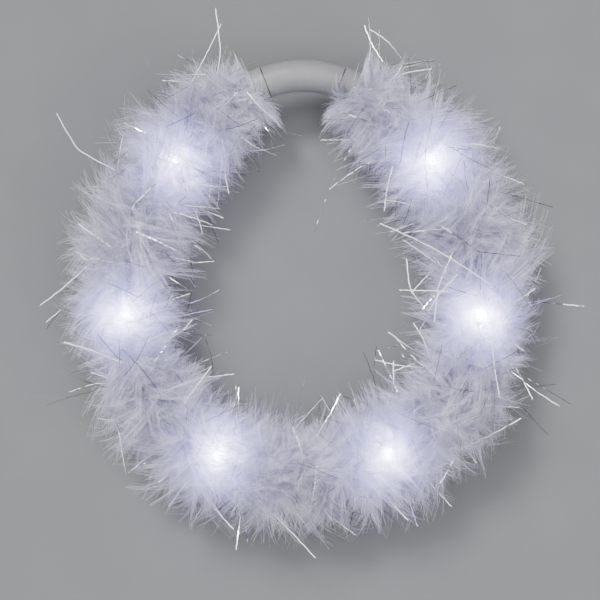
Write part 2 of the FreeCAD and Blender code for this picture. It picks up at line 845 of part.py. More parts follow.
def make_circuit():
    """Circuit board with its chip and resistor, and the push switch below it."""
    aside = value("board_aside")
    spot = at(BOARD_STATION, aside, value("board_rise"))
    subpart(box("circuit_board", spot, "board_length", "board_width", "board_thickness"), "circuit_board")
    spot = at(BOARD_STATION, aside, BOARD_TOP, value("chip_along"))
    subpart(box("control_chip", spot, "chip_length", "chip_width", "chip_height"), "control_chip")
    spot = at(BOARD_STATION, aside, BOARD_TOP, value("resistor_along"))
    subpart(box("resistor", spot, "resistor_width", "resistor_length", "resistor_height"), "resistor")
    case_sizes = {"Length": "switch_side", "Width": "switch_side", "Height": "switch_height"}
    well_sizes = {"Radius": "plunger_radius + plunger_play", "Height": "switch_well_depth"}
    steps = [("AdditiveBox", V(0, 0, 0), case_sizes), ("SubtractiveCylinder", V(0, 0, 0), well_sizes)]
    spot = at(BOARD_STATION, 0, value("board_rise") - value("switch_height"))
    subpart(design_body("switch_body", spot, steps), "switch_body")
    spot = at(BOARD_STATION, 0, -value("plunger_drop"))
    subpart(cylinder("switch_plunger", spot, "plunger_radius", "plunger_height"), "switch_plunger")


def make_button():
    """Push button: a stem, a flange that keeps it in the case, and a rounded cap outside."""
    steps = []
    low = 0
    for part in ("neck", "flange", "stem"):
        sizes = {"Radius": f"cap_{part}_radius", "Height": f"cap_{part}_height"}
        steps.append(("AdditiveCylinder", V(0, 0, low), sizes))
        low += value(f"cap_{part}_height")
    body = design_body("button_cap", at(BOARD_STATION, 0, -value("cap_drop")), steps)
    base = body.Tip
    rims = [
        f"Edge{number}"
        for number, edge in enumerate(base.Shape.Edges, start=1)
        if abs(edge.BoundBox.ZMax) < SAME_PLACE
    ]
    rounding = body.newObject("PartDesign::Fillet", "button_cap_rounding")
    rounding.Base = (base, rims)
    rounding.setExpression("Radius", "Dimensions.cap_rounding")
    body.Tip = rounding
    doc.recompute()
    subpart(body, "button_cap")


def lead_wire(label, first, last, aside, rise, low_first, low_last):
    """Lead that rises from one end, follows the case's arc and drops to the other end."""
    bend = value("lead_bend")
    start = case_station(first)
    end = case_station(last)
    slant = bend * math.sqrt(0.5)
    up = [at(start, aside, low_first, -bend).Base, at(start, aside, rise - bend, -bend).Base]
    bend_up = [up[1], at(start, aside, rise - bend + slant, -slant).Base, at(start, aside, rise).Base]
    arc = [at(s, aside, rise).Base for s in (start, (start + end) / 2, end)]
    down_top = at(end, aside, rise - bend, bend).Base
    bend_down = [arc[2], at(end, aside, rise - bend + slant, slant).Base, down_top]
    edges = [
        Part.LineSegment(up[0], up[1]).toShape(),
        Part.Arc(*bend_up).toShape(),
        Part.Arc(*arc).toShape(),
        Part.Arc(*bend_down).toShape(),
        Part.LineSegment(down_top, at(end, aside, low_last, bend).Base).toShape(),
    ]
    path = doc.addObject("Part::Feature", label + "_path")
    path.Shape = Part.Wire(edges)
    section = bind(doc.addObject("Part::Circle", label + "_section"), Radius="lead_radius")
    section.Placement = FreeCAD.Placement(up[0], FreeCAD.Rotation())
    sweep = doc.addObject("Part::Sweep", label)
    sweep.Sections = [section]
    sweep.Spine = (path, [f"Edge{i + 1}" for i in range(len(edges))])
    sweep.Solid = True
    sweep.Frenet = False
    subpart(sweep, label)


def make_leads():
    """Leads from the two battery contacts to the board."""
    plate_top = value("plate_side") / 2
    landing = value("lead_landing_angle")
    radius = value("case_arc_radius") + CELL_ASIDE
    bend_angle = math.degrees(value("lead_bend") / value("case_arc_radius"))
    for name, reach in (("positive", -STACK_END - 0.65), ("negative", STACK_END + value("spring_reach"))):
        plate_angle = -value("cell_angle") + math.degrees(math.atan(reach / radius))
        first = plate_angle + bend_angle
        aside = value(f"{name}_lead_aside")
        rise = value(f"{name}_lead_rise")
        lead_wire(f"battery_lead_{name}", first, landing, aside, rise, plate_top, BOARD_TOP)


make_tufts()
for light_number, light_station in enumerate(LIGHTS, start=1):
    make_light(light_number, light_station)
make_sleeves()
make_core()
make_quills()
make_tinsel()
make_shells()
for collar_name, collar_side in (("left", -1), ("right", 1)):
    make_collar(collar_name, collar_side)
    make_ferrule(collar_name, collar_side)
make_cells()
make_contacts()
make_door()
make_screw()
make_circuit()
make_button()
make_leads()

doc.recompute()
for item in doc.Objects:
    if "Invalid" in item.State or "Error" in item.State:
        raise RuntimeError(f"{item.Label} failed: {item.State}")
os.makedirs("parts", exist_ok=True)
for item in SUBPARTS:
    if item.Shape.isNull() or not item.Shape.isValid():
        raise RuntimeError(f"{item.Label} has no valid shape")
    item.Shape.exportStep(f"parts/{item.Label}.step")
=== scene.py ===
import json
import math

import bmesh
import bpy
import numpy as np
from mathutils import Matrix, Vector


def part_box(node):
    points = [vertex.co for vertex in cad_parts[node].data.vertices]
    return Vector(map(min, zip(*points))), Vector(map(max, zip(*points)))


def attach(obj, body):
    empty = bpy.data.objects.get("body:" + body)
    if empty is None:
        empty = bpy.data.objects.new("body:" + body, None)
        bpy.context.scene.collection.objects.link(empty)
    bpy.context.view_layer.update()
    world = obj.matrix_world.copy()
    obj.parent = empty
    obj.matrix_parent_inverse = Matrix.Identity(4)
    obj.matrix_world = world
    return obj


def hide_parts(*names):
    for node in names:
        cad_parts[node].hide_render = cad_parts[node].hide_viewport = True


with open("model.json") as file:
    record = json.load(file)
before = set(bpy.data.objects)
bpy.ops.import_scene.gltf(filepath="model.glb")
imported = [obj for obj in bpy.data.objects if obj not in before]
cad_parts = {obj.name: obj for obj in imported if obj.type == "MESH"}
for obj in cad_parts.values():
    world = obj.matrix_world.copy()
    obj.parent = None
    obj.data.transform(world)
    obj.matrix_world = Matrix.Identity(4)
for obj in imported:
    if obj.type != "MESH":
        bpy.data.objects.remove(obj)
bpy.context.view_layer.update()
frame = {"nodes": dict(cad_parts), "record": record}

RNG = np.random.default_rng(20)
MM = 0.001

# ---- the ring's middle line, as the frame's hoop wire has it ------------------------------------

HOOP_RADIUS = 0.8 * MM
ARC_ANGLES = np.radians([36, 26, 56, 47, 15])
ARC_RADII = np.array([52, 0, 98, 74, 120]) * MM


def close_ring():
    """Shoulder radius that brings the half ring's end back to the mirror line."""
    ends = np.cumsum(ARC_ANGLES)
    steps = np.sin(ends) - np.sin(ends - ARC_ANGLES)
    return -np.sum(ARC_RADII * steps) / steps[1]


ARC_RADII[1] = close_ring()
ARC_HEADINGS = np.cumsum(ARC_ANGLES) - ARC_ANGLES
ARC_LENGTHS = ARC_RADII * ARC_ANGLES
ARC_STARTS = np.cumsum(ARC_LENGTHS) - ARC_LENGTHS
HALF = ARC_LENGTHS.sum()
STEP_X = ARC_RADII * (np.sin(ARC_HEADINGS + ARC_ANGLES) - np.sin(ARC_HEADINGS))
STEP_Y = -ARC_RADII * (np.cos(ARC_HEADINGS) - np.cos(ARC_HEADINGS + ARC_ANGLES))
HOOP_LOW, HOOP_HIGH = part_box("hoop_wire")
RING_BACK = HOOP_LOW[1] + HOOP_RADIUS - STEP_Y.sum()
AXIS_HEIGHT = (HOOP_LOW[2] + HOOP_HIGH[2]) / 2
ARC_X = np.cumsum(STEP_X) - STEP_X
ARC_Y = RING_BACK + np.cumsum(STEP_Y) - STEP_Y


def ring_frame(station):
    """Position, tangent and outward normal of the middle line at an array of stations."""
    wrapped = np.mod(station, 2 * HALF)
    mirrored = wrapped > HALF
    left = np.where(mirrored, 2 * HALF - wrapped, wrapped)
    arc = np.clip(np.searchsorted(ARC_STARTS, left, side="right") - 1, 0, len(ARC_RADII) - 1)
    heading = ARC_HEADINGS[arc] + (left - ARC_STARTS[arc]) / ARC_RADII[arc]
    x = ARC_X[arc] + ARC_RADII[arc] * (np.sin(heading) - np.sin(ARC_HEADINGS[arc]))
    y = ARC_Y[arc] - ARC_RADII[arc] * (np.cos(ARC_HEADINGS[arc]) - np.cos(heading))
    side = np.where(mirrored, -1.0, 1.0)
    flat = np.zeros_like(x)
    position = np.stack([x * side, y, flat + AXIS_HEIGHT], axis=-1)
    tangent = np.stack([np.cos(heading), -np.sin(heading) * side, flat], axis=-1)
    normal = np.stack([np.sin(heading) * side, np.cos(heading), flat], axis=-1)
    return position, tangent, normal


def roll_point(station, angle, radius):
    """Point at a radius from the middle line, at an angle round it."""
    position, _, normal = ring_frame(station)
    up = np.zeros_like(normal)
    up[..., 2] = 1
    outward = normal * np.cos(angle)[..., None] + up * np.sin(angle)[..., None]
    return position + outward * radius[..., None]


# ---- lights -------------------------------------------------------------------------------------

LIGHT_NODES = [f"light_{number}" for number in range(1, 7)]
LENS_RADIUS = 2.5 * MM


def light_spots():
    """Middle of the round top of each light's lens."""
    spots = []
    for name in LIGHT_NODES:
        low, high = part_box(name)
        spots.append([(low[0] + high[0]) / 2, (low[1] + high[1]) / 2, high[2] - LENS_RADIUS])
    return np.array(spots)


LIGHT_SPOTS = light_spots()
# the glow painted into the down is a small bright core and a wide halo; the core's share of it at the
# light
GLOW_CORE = 10 * MM
GLOW_SPREAD = 24 * MM
CORE_SHARE = 0.55


def glow(points):
    """How much light from the buried lights reaches a point of the down, from 0 to 1, for the down's
    painted glow.
    """
    total = np.zeros(points.shape[:-1])
    for spot in LIGHT_SPOTS:
        distance = np.linalg.norm(points - spot, axis=-1)
        core = np.exp(-((distance / GLOW_CORE) ** 2))
        halo = np.exp(-((distance / GLOW_SPREAD) ** 2))
        total += CORE_SHARE * core + (1 - CORE_SHARE) * halo
    return np.clip(total, 0, 1)


# ---- node helpers -------------------------------------------------------------------------------


def new_material(name):
    """Material with its nodes, links and shader."""
    material = bpy.data.materials.new(name)
    material.use_nodes = True
    nodes = material.node_tree.nodes
    return material, nodes, material.node_tree.links, nodes["Principled BSDF"]


def ramp_node(nodes, stops):
    """Colour ramp with the given (position, colour) stops."""
    ramp = nodes.new("ShaderNodeValToRGB")
    elements = ramp.color_ramp.elements
    while len(elements) < len(stops):
        elements.new(0.5)
    for element, (position, colour) in zip(elements, stops):
        element.position = position
        element.color = (*colour, 1)
    return ramp


def noise_node(nodes, links, scale, detail=3.0, coordinates=None):
    """Noise on the given coordinates, or else on the object's own."""
    noise = nodes.new("ShaderNodeTexNoise")
    noise.inputs["Scale"].default_value = scale
    noise.inputs["Detail"].default_value = detail
    if coordinates is None:
        coordinates = nodes.new("ShaderNodeTexCoord").outputs["Object"]
    links.new(coordinates, noise.inputs["Vector"])
    return noise


def add_bump(nodes, links, shader, height, strength, distance):
    """Surface relief of a shader, from a height pattern."""
    bump = nodes.new("ShaderNodeBump")
    bump.inputs["Strength"].default_value = strength
    bump.inputs["Distance"].default_value = distance
    links.new(height, bump.inputs["Height"])
    links.new(bump.outputs["Normal"], shader.inputs["Normal"])


def two_tone(nodes, links, shader, pattern, dark, light, span=(0.35, 0.65)):
    """Base colour between two tones by a pattern, which the span stretches."""
    tone = ramp_node(nodes, [(span[0], dark), (span[1], light)])
    links.new(pattern, tone.inputs["Fac"])
    links.new(tone.outputs["Color"], shader.inputs["Base Color"])


def shaded(colour, share):
    """Colour with each channel brought down to a share of itself."""
    return tuple(channel * share for channel in colour)


# the ribbons' own layer, whose coordinates hold what their materials need to know
BAKE_LAYER = "OFBake"


def layer_node(nodes, links):
    """The ribbons' own layer, split into its two coordinates, X and Y."""
    place = nodes.new("ShaderNodeUVMap")
    place.uv_map = BAKE_LAYER
    split = nodes.new("ShaderNodeSeparateXYZ")
    links.new(place.outputs["UV"], split.inputs["Vector"])
    return split


def math_node(nodes, links, operation, first, second=None):
    """Math node on one or two inputs, each a socket or a number."""
    node = nodes.new("ShaderNodeMath")
    node.operation = operation
    for socket, given in zip(node.inputs, (first, second)):
        if isinstance(given, bpy.types.NodeSocket):
            links.new(given, socket)
        elif given is not None:
            socket.default_value = given
    return node.outputs["Value"]


# ---- down ---------------------------------------------------------------------------------------

# colour by the layer's tone, a painted shade; painted shade in soft patches; and a painted glow, light
# given off by the layer's glow in place of the buried lights' light
DOWN_SHADE_TONES = [(0.1, (0.26, 0.25, 0.31)), (0.5, (0.64, 0.63, 0.75)), (0.9, (0.91, 0.90, 1.0))]
DOWN_SHADE_PATCHES = [(0.36, (0.74, 0.74, 0.76)), (0.58, (1.0, 1.0, 1.0))]
DOWN_SHADE_PATCH_SCALE = 160.0
DOWN_PAINTED_GLOW = [
    (0.0, (0.004, 0.004, 0.006)), (0.12, (0.015, 0.015, 0.024)), (0.32, (0.060, 0.058, 0.125)),
    (0.52, (0.21, 0.21, 0.47)), (0.75, (0.60, 0.62, 1.0)), (0.95, (1.0, 1.0, 1.0)),
]
DOWN_PAINTED_GLOW_STRENGTH = 5.0
DOWN_ROUGHNESS = 0.75
DOWN_SPECULAR = 0.2
DOWN_TRANSLUCENCE = 0.45


def down_material():
    """White marabou: soft fibres that pass light on, with painted shade darker to the roots and a
    painted glow from the lights inside.

    The layer's first coordinate is the lights' glow, painted as emission, and its second is the tone,
    lighter to the tip, a painted shade."""
    material, nodes, links, shader = new_material("marabou_down")
    layer = layer_node(nodes, links)
    # painted shade: the colour darkens towards the roots and between locks with the layer's tone
    colour = ramp_node(nodes, DOWN_SHADE_TONES)
    links.new(layer.outputs["Y"], colour.inputs["Fac"])
    # painted shade in soft patches
    patches = noise_node(nodes, links, DOWN_SHADE_PATCH_SCALE)
    shade = ramp_node(nodes, DOWN_SHADE_PATCHES)
    links.new(patches.outputs["Fac"], shade.inputs["Fac"])
    tone = nodes.new("ShaderNodeMix")
    tone.data_type = "RGBA"
    tone.blend_type = "MULTIPLY"
    tone.inputs["Factor"].default_value = 1.0
    links.new(colour.outputs["Color"], tone.inputs["A"])
    links.new(shade.outputs["Color"], tone.inputs["B"])
    links.new(tone.outputs["Result"], shader.inputs["Base Color"])
    shader.inputs["Roughness"].default_value = DOWN_ROUGHNESS
    shader.inputs["Specular IOR Level"].default_value = DOWN_SPECULAR
    # painted glow: emission in place of the light of the buried lights
    painted_glow = ramp_node(nodes, DOWN_PAINTED_GLOW)
    links.new(layer.outputs["X"], painted_glow.inputs["Fac"])
    links.new(painted_glow.outputs["Color"], shader.inputs["Emission Color"])
    shader.inputs["Emission Strength"].default_value = DOWN_PAINTED_GLOW_STRENGTH
    through = nodes.new("ShaderNodeBsdfTranslucent")
    links.new(tone.outputs["Result"], through.inputs["Color"])
    mix = nodes.new("ShaderNodeMixShader")
    mix.inputs["Fac"].default_value = DOWN_TRANSLUCENCE
    links.new(shader.outputs["BSDF"], mix.inputs[1])
    links.new(through.outputs["BSDF"], mix.inputs[2])
    links.new(mix.outputs["Shader"], nodes["Material Output"].inputs["Surface"])
    return material


# a root's tone as a share of its tip's, a painted shade that darkens the roots deep in the down; the
# part of the layer in use; a ribbon's breadth in it
ROOT_SHADE = 0.45
LAYER_LOW = 0.01
LAYER_HIGH_LEVEL = 0.98
LAYER_HIGH_TONE = 0.99
LAYER_BREADTH = 0.004
TINY = 1e-12


def ribbon_mesh(name, paths, widths, sides, material, tones=None):
    """Mesh of flat tapered ribbons: paths is strands x points x 3, widths strands x points.

    Each ribbon faces along its side vector as nearly as its path allows.  Tones, which only the down
    has, gives each strand's tone from 0 to 1, which the down's material paints as shade, and its factor
    on the lights' painted glow.  Without it, the layer's first coordinate is random for each ribbon and
    its second runs from root to tip."""
    strands, points, _ = paths.shape
    along = np.gradient(paths, axis=1)
    across = np.cross(along, sides)
    across /= np.linalg.norm(across, axis=-1, keepdims=True) + TINY
    offset = across * widths[..., None] / 2
    verts = np.stack([paths - offset, paths + offset], axis=2).reshape(-1, 3)
    first = np.arange(strands)[:, None] * points * 2 + np.arange(points - 1)[None, :] * 2
    faces = np.stack([first, first + 1, first + 3, first + 2], axis=-1).reshape(-1, 4)
    mesh = bpy.data.meshes.new(name)
    mesh.from_pydata(verts, [], faces)
    layer = mesh.uv_layers.new(name=BAKE_LAYER)
    height = np.broadcast_to(np.linspace(0, 1, points), (strands, points))
    level = np.broadcast_to(RNG.random((strands, 1)), (strands, points))
    if tones is not None:
        # painted shade: a root's tone is a share of its tip's
        height = tones[:, :1] * (ROOT_SHADE + (1 - ROOT_SHADE) * height)
        level = glow(paths) * tones[:, 1:]
    height = np.clip(height, LAYER_LOW, LAYER_HIGH_TONE)
    level = np.clip(level, LAYER_LOW, LAYER_HIGH_LEVEL)
    near = np.stack([level, height], axis=-1)
    far = np.stack([level + LAYER_BREADTH, height], axis=-1)
    place = np.stack([near, far], axis=2)
    layer.data.foreach_set("uv", place.reshape(-1, 2)[faces.reshape(-1)].ravel())
    mesh.materials.append(material)
    mesh.update()
    obj = bpy.data.objects.new(name, mesh)
    bpy.context.scene.collection.objects.link(obj)
    return obj


# radii of the roll of down and of the core in it, and the station of the right collar's face
FLUFF_RADIUS = 26 * MM
CORE_RADIUS = 4 * MM
END_STATION = 28 * MM
# how far a lock of full length stands out, as a share of the roll's radius
REACH_SHARE = 1.10
# station and depth, in millimetres, of the dips between the tufts of down
DIPS = [
    (62, 2.5), (101, 4.0), (143, 3.5), (185, 3.5), (228, 3.5), (272, 3.0), (312, 3.5), (357, 3.5),
    (400, 4.0), (441, 4.0), (484, 3.5), (524, 3.0),
]
DIP_WIDTH = 7 * MM
DIP_WANDER = 2.5 * MM
# slow unevenness: depth, length along the ring for each radian, and turns round the roll
WAVES = [(1.4 * MM, 17 * MM, 2), (1.2 * MM, 6.5 * MM, -1)]
# station, spread, and how much further the down reaches outside and inside the ring, in millimetres
FULLNESS = [
    (72, 26, 4.5, 3.5), (104, 16, 0.5, 5.0), (118, 10, 4.0, 1.0), (166, 14, 0.0, 4.0),
    (206, 14, 4.0, -2.5), (248, 22, 3.5, 4.5), (270, 14, 5.5, -1.0), (296, 18, 1.5, -4.0),
    (322, 14, 5.0, -1.5), (358, 24, 4.0, -3.0), (388, 14, -2.0, -4.5), (446, 14, 0.0, 2.5),
    (508, 24, 4.5, 0.0),
]
# how much shorter the down is at a collar, what more that is outside, and how soon it fades
END_SHORTER = 9.5 * MM
END_SHORTER_OUTSIDE = 2 * MM
END_TAPER = 14 * MM
# how far the down inside the ring leans over the collars, and how soon that fades
END_LEAN = 15 * MM
END_LEAN_DECAY = 8 * MM
# a strand leans from this share of its length, as a power of what is left of it
LEAN_FROM = 0.15
LEAN_POWER = 1.3
# how far past the right and left collars' faces down may lie, outside and then inside the ring
RIGHT_OVERHANG = (1.5 * MM, 20 * MM)
LEFT_OVERHANG = (2 * MM, 19 * MM)
# how sharply the inside of the ring is told from the rest
INSIDE_POWER = 4
# down above this height lies over, and never stands more than the margin above it
LIE_OVER_HEIGHT = 52 * MM
LIE_OVER_MARGIN = 15 * MM
# how near the down comes to what the ring lies on, and how far its tips sag
LOWEST = 0.4 * MM
DROOP = 1.5 * MM
# a strand's turn towards its tip, its curl and its rise from the core, as powers of the way along it
TURN_POWER = 1.4
CURL_POWER = 3
RISE_POWER = 0.92
# roots may stray this far past a collar's face
ROOT_SLACK = 0.5 * MM


def from_collars(station):
    """Distance along the ring from the nearer collar's face."""
    return np.minimum(station - END_STATION, 2 * HALF - END_STATION - station)


def down_reach(station, angle):
    """How far the down stands out, with dips between its tufts and a slow unevenness."""
    reach = np.full_like(station, REACH_SHARE * FLUFF_RADIUS)
    for place, depth in DIPS:
        away = station - place * MM + DIP_WANDER * np.sin(3 * angle + place)
        reach -= depth * MM * np.exp(-((away / DIP_WIDTH) ** 2))
    for amplitude, length, turns in WAVES:
        reach += amplitude * np.sin(station / length + turns * angle)
    outer = 0.5 + 0.5 * np.cos(angle)
    for place, spread, outside, inside in FULLNESS:
        more = outside * outer**2 + inside * (1 - outer) ** 2
        reach += more * MM * np.exp(-(((station - place * MM) / (spread * MM)) ** 2))
    shorter = END_SHORTER + END_SHORTER_OUTSIDE * outer
    return reach - shorter * np.exp(-np.maximum(from_collars(station), 0) / END_TAPER)


STRAND_POINTS = 7
# a strand narrows from root to tip with this power of the way along it
NARROWING_POWER = 1.5


def scatter(count, spread):
    """Random offsets with a spread along the ring, in metres, and one round the roll, in radians."""
    along, around = spread
    return np.stack([RNG.normal(0, along, count), RNG.normal(0, around, count)], axis=-1)


def random_roots(low, high, count):
    """Random places between two stations, at any angle round the roll."""
    return np.stack([RNG.uniform(low, high, count), RNG.uniform(0, 2 * math.pi, count)], axis=-1)


def random_sides(count):
    """A random way for each ribbon to face."""
    return RNG.normal(size=(count, 1, 3)) + np.zeros((1, STRAND_POINTS, 1))


def random_widths(count, narrowest, widest, taper):
    """Ribbon widths that narrow from root to tip by the given share."""
    v = np.linspace(0, 1, STRAND_POINTS)
    return RNG.uniform(narrowest, widest, count)[:, None] * (1 - taper * v**NARROWING_POWER)


def hold_back(along, face, direction, inner, overhang):
    """Stations with what lies past a collar's face drawn back to within the overhang."""
    limit = overhang[0] + (overhang[1] - overhang[0]) * inner
    past = np.maximum((along - face) * direction, 0)
    return along - direction * (past - limit * (1 - np.exp(-past / limit)))


def roll_paths(root, tip, curl, bow, tip_radius):
    """Strand paths from the core: each curves from its root towards its tip and curls at the end.

    root, tip, curl and bow hold a station, or an offset along the ring, and an angle.  Also tells
    which strands are rooted between the collars."""
    v = np.linspace(0, 1, STRAND_POINTS)[None, :, None]
    turned = root[:, None] + (tip - root)[:, None] * v**TURN_POWER
    place = turned + curl[:, None] * v**CURL_POWER + bow[:, None] * np.sin(math.pi * v)
    from_end = from_collars(root[:, 0])
    inner = (0.5 - 0.5 * np.cos(root[:, 1]))[:, None] ** INSIDE_POWER
    towards = np.where(root[:, 0] < HALF, -END_LEAN, END_LEAN)
    lean = towards * np.exp(-np.maximum(from_end, 0) / END_LEAN_DECAY)
    rising = np.clip(v[..., 0] - LEAN_FROM, 0, 1) ** LEAN_POWER
    along = place[..., 0] + lean[:, None] * inner * rising
    along = hold_back(along, END_STATION, -1, inner, RIGHT_OVERHANG)
    along = hold_back(along, 2 * HALF - END_STATION, 1, inner, LEFT_OVERHANG)
    radius = CORE_RADIUS + (tip_radius - CORE_RADIUS)[:, None] * v[..., 0] ** RISE_POWER
    paths = roll_point(along, place[..., 1], radius)
    droop = DROOP * (0.5 + 0.5 * np.cos(root[:, 1]) ** 2)
    paths[..., 2] -= droop[:, None] * v[..., 0] ** 2
    above = np.maximum(paths[..., 2] - LIE_OVER_HEIGHT, 0)
    paths[..., 2] -= above - LIE_OVER_MARGIN * (1 - np.exp(-above / LIE_OVER_MARGIN))
    paths[..., 2] = np.maximum(paths[..., 2], LOWEST)
    return paths, from_end > -ROOT_SLACK


LOCKS_PER_PLUME = 14
STRANDS_PER_LOCK = 9
# no strand stands out further than this from the middle line
LONGEST_REACH = 41 * MM
# how much wider the plumes on top of the roll sweep, so that they lie over it
TOP_SWEEP = 0.9
# spreads along the ring and round the roll of a plume, of its locks and of their strands
PLUME_SWEEP = (7.5 * MM, 0.28)
LOCK_ROOT_SPREAD = (2.6 * MM, 0.22)
LOCK_TIP_SPREAD = (4.2 * MM, 0.19)
LOCK_CURL = (3.6 * MM, 0.15)
STRAND_ROOT_SPREAD = (1.2 * MM, 0.10)
STRAND_TIP_SPREAD = (0.38 * MM, 0.018)
STRAND_CURL = (0.3 * MM, 0.01)
STRAND_BOW = (0.7 * MM, 0.03)
# strands that leave their lock, and how many times further they spread
FLYAWAY_SHARE = 0.07
FLYAWAY_MORE = 5
# means and spreads of the lengths and tones, the tones a painted shade between plumes and locks, and of
# the logarithm of a lock's factor on the painted glow
PLUME_LENGTH = (1.0, 0.09)
LOCK_LENGTH = (0.93, 0.16)
PLUME_TONE = (0.80, 0.15)
LOCK_TONE = (0, 0.28)
LOCK_GLOW = (0, 0.58)
# lowest and highest shares of a strand's length, limits on the whole, and widths
STRAND_LENGTH = (0.80, 1.04)
LENGTH_LIMITS = (0.5, 1.34)
TONE_LIMITS = (0, 2)
STRAND_WIDTH = (0.19 * MM, 0.29 * MM)
STRAND_TAPER = 0.82


def plume_strands(low, high, plumes, reach_scale=1.0, thin=1.0):
    """Strands rooted between two stations: plumes sweep together, and their locks end in points."""
    locks = plumes * LOCKS_PER_PLUME
    count = locks * STRANDS_PER_LOCK
    plume = np.repeat(np.arange(plumes), LOCKS_PER_PLUME)
    lock = np.repeat(np.arange(locks), STRANDS_PER_LOCK)
    plume_root = random_roots(low, high, plumes)
    wider = 1 + TOP_SWEEP * np.maximum(np.sin(plume_root[:, 1:]), 0)
    sweep = scatter(plumes, PLUME_SWEEP) * wider
    lock_root = plume_root[plume] + scatter(locks, LOCK_ROOT_SPREAD)
    lock_tip = lock_root + sweep[plume] + scatter(locks, LOCK_TIP_SPREAD)
    lock_curl = scatter(locks, LOCK_CURL)
    lock_length = RNG.normal(*PLUME_LENGTH, plumes)[plume] * RNG.normal(*LOCK_LENGTH, locks)
    # painted shade between plumes and locks, a random tone for each
    lock_tone = RNG.normal(*PLUME_TONE, plumes)[plume] + RNG.normal(*LOCK_TONE, locks)
    lock_tones = np.stack([lock_tone, np.exp(RNG.normal(*LOCK_GLOW, locks))], axis=-1)
    stray = 1 + FLYAWAY_MORE * (RNG.random(count) < FLYAWAY_SHARE)[:, None]
    root = lock_root[lock] + scatter(count, STRAND_ROOT_SPREAD)
    tip = lock_tip[lock] + scatter(count, STRAND_TIP_SPREAD) * stray
    curl = lock_curl[lock] + scatter(count, STRAND_CURL) * stray
    bow = scatter(count, STRAND_BOW)
    length = np.clip(lock_length[lock] * RNG.uniform(*STRAND_LENGTH, count), *LENGTH_LIMITS)
    tip_radius = np.minimum(down_reach(tip[:, 0], tip[:, 1]) * length * reach_scale, LONGEST_REACH)
    paths, keep = roll_paths(root, tip, curl, bow, tip_radius)
    width = random_widths(count, *STRAND_WIDTH, STRAND_TAPER) * thin
    sides = random_sides(count)
    return paths[keep], width[keep], sides[keep], np.clip(lock_tones[lock], *TONE_LIMITS)[keep]


# spreads, reach, width and tone, a painted shade, of the matted down near the core
UNDERDOWN_TIP_SPREAD = (7 * MM, 0.4)
UNDERDOWN_CURL = (3 * MM, 0.2)
UNDERDOWN_BOW = (1.5 * MM, 0.08)
UNDERDOWN_REACH = (10 * MM, 20 * MM)
UNDERDOWN_WIDTH = (0.26 * MM, 0.40 * MM)
UNDERDOWN_TAPER = 0.7
UNDERDOWN_TONE = (0.65, 1.0)


def underdown_strands(low, high, count):
    """Short, matted strands that hide the core."""
    root = random_roots(low, high, count)
    tip = root + scatter(count, UNDERDOWN_TIP_SPREAD)
    curl = scatter(count, UNDERDOWN_CURL)
    bow = scatter(count, UNDERDOWN_BOW)
    paths, keep = roll_paths(root, tip, curl, bow, RNG.uniform(*UNDERDOWN_REACH, count))
    width = random_widths(count, *UNDERDOWN_WIDTH, UNDERDOWN_TAPER)
    sides = random_sides(count)
    tones = np.stack([RNG.uniform(*UNDERDOWN_TONE, count), np.ones(count)], axis=-1)
    return paths[keep], width[keep], sides[keep], tones[keep]


PLUMES_PER_MM = 1.9
UNDERDOWN_PER_MM = 55
# stations of the lights on the right half
LIGHT_STATIONS = [80 * MM, 162.5 * MM, 249.5 * MM]


def tuft_edges():
    """Stations where the frame's tufts meet: a quarter of the way from each light to the next."""
    lights = LIGHT_STATIONS + [2 * HALF - light for light in reversed(LIGHT_STATIONS)]
    marks = [lights[0] - (lights[1] - lights[0]) / 4]
    for first, second in zip(lights, lights[1:]):
        quarter = (second - first) / 4
        marks += [first + quarter, second - quarter]
    marks.append(2 * HALF - marks[0])
    return [END_STATION] + marks + [2 * HALF - END_STATION]


def make_down(material):
    """One piece of loose down for each tuft of the frame."""
    edges = tuft_edges()
    for number, (low, high) in enumerate(zip(edges, edges[1:]), start=1):
        span = (high - low) / MM
        outer = plume_strands(low, high, int(span * PLUMES_PER_MM))
        inner = underdown_strands(low, high, int(span * UNDERDOWN_PER_MM))
        paths, width, sides, tones = (np.concatenate(pair) for pair in zip(outer, inner))
        piece = ribbon_mesh(f"down_{number:02d}", paths, width, sides, material, tones)
        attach(piece, "crown")
        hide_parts(f"marabou_tuft_{number:02d}")


# plumes, how much further they reach, and how thin their strands are beside the rest of the down
STRAYS = (70, 1.16, 0.7)
FRONT_WISPS = (18, 1.5, 0.8)
FRONT_SPAN = (6 * MM, 34 * MM)
STRAYS_KEPT = 0.45


def make_stray_down(material):
    """Single barbs that stand out past the rest of the down, and long wisps left of its front."""
    everywhere = plume_strands(END_STATION, 2 * HALF - END_STATION, *STRAYS)
    front = plume_strands(HALF + FRONT_SPAN[0], HALF + FRONT_SPAN[1], *FRONT_WISPS)
    paths, width, sides, tones = (np.concatenate(pair) for pair in zip(everywhere, front))
    kept = RNG.random(len(paths)) < STRAYS_KEPT
    piece = ribbon_mesh("stray_down", paths[kept], width[kept], sides[kept], material, tones[kept])
    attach(piece, "crown")


# ---- tinsel -------------------------------------------------------------------------------------

# painted reflection: a strand is dark or bright by the mean of its own random level and a noise that
# makes dashes of it, the dark standing in for the dark surroundings it reflects
FOIL_PAINTED_DARK_REFLECTION = (0.09, 0.09, 0.10)
FOIL_BRIGHT = (0.90, 0.91, 0.94)
FOIL_SPAN = (0.38, 0.44)
FOIL_REFLECTION_DASH_SCALE = 220.0
FOIL_CRINKLE_SCALE = 900.0
FOIL_ROUGHNESS = 0.24


